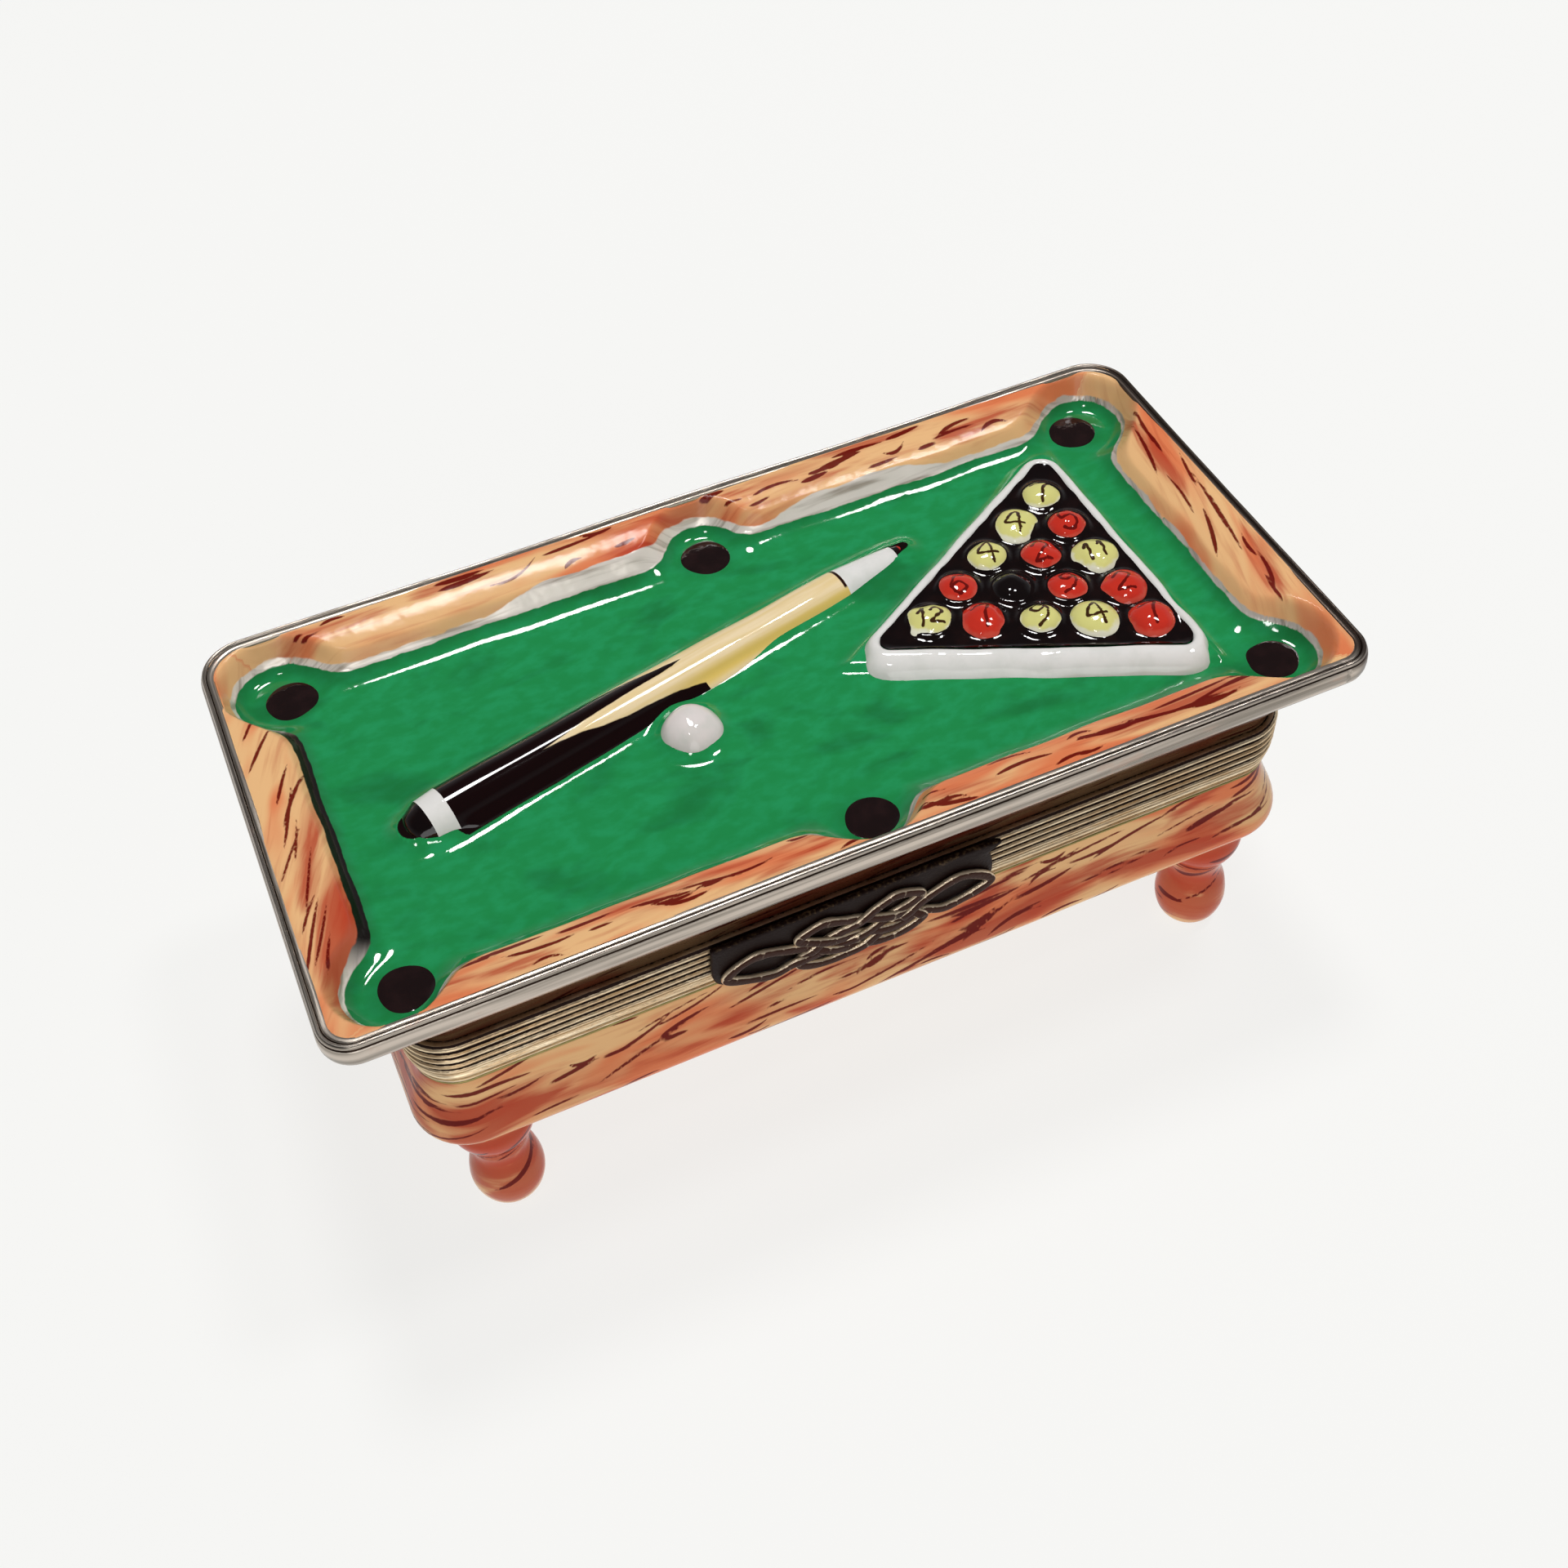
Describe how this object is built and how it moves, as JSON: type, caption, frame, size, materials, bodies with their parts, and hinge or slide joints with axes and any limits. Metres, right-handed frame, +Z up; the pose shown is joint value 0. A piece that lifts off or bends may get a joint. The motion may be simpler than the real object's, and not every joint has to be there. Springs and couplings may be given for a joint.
{
  "type": "hinged trinket box",
  "caption": "Hinged porcelain trinket box shaped as a pool table, its top opening as a lid on a back hinge, with brass rims, rope-knot clasp and turned feet.",
  "frame": {"origin": "centre of the footprint, on the surface that the feet stand on", "axes": "+X along the table's length towards the racked balls, +Y towards the hinge, +Z up"},
  "size_m": [0.095, 0.0476, 0.0383],
  "materials": {
    "wood_painted_glaze": "hand-painted wood grain under a clear gloss glaze",
    "green_glaze": "brushed green enamel under a clear gloss glaze, wood-painted rails",
    "platinum_lustre": "hand-brushed platinum lustre over glaze",
    "black_enamel": "gloss black enamel",
    "white_glaze": "gloss white porcelain",
    "cream_glaze": "gloss cream enamel",
    "yellow_enamel": "gloss pale yellow enamel with painted numerals",
    "red_enamel": "gloss red enamel with painted numerals",
    "ribbed_brass": "chased brass with dark wash in the grooves",
    "clasp_dark": "oxidised dark brown brass",
    "clasp_rope_metal": "oxidised brass, rubbed bright on the strands"
  },
  "bodies": {
    "base": {"body_shell": "wood_painted_glaze", "foot_front_left": "wood_painted_glaze", "foot_front_right": "wood_painted_glaze", "foot_back_left": "wood_painted_glaze", "foot_back_right": "wood_painted_glaze", "lower_mount": "ribbed_brass", "base_knuckle_left": "ribbed_brass", "base_knuckle_centre": "ribbed_brass", "base_knuckle_right": "ribbed_brass", "hinge_pin": "ribbed_brass", "catch_stud": "ribbed_brass"},
    "lid": {"ball_01": "yellow_enamel", "ball_02": "red_enamel", "ball_03": "red_enamel", "ball_04": "yellow_enamel", "ball_05": "black_enamel", "ball_06": "yellow_enamel", "ball_07": "yellow_enamel", "ball_08": "red_enamel", "ball_09": "red_enamel", "ball_10": "yellow_enamel", "ball_11": "yellow_enamel", "ball_12": "red_enamel", "ball_13": "yellow_enamel", "ball_14": "red_enamel", "ball_15": "red_enamel", "clasp_plate": "clasp_dark", "clasp_rope": "clasp_rope_metal", "clasp_tongue": "ribbed_brass", "cue_ball": "white_glaze", "cue_bumper": "black_enamel", "cue_butt": "black_enamel", "cue_ferrule": "white_glaze", "cue_ring": "white_glaze", "cue_shaft": "cream_glaze", "cue_tip": "black_enamel", "lid_knuckle_left": "ribbed_brass", "lid_knuckle_right": "ribbed_brass", "lid_shell": "green_glaze", "pocket_back_left": "black_enamel", "pocket_back_middle": "black_enamel", "pocket_back_right": "black_enamel", "pocket_front_left": "black_enamel", "pocket_front_middle": "black_enamel", "pocket_front_right": "black_enamel", "rack_bed": "black_enamel", "rack_frame": "white_glaze", "rim_band": "platinum_lustre", "upper_mount": "ribbed_brass"}
  },
  "joints": [
    {"name": "lid_hinge", "type": "hinge", "parent": "base", "child": "lid", "pos_m": [0, 0.0227, 0.0268], "axis": [-1, 0, 0], "range_deg": [0, 100]}
  ]
}
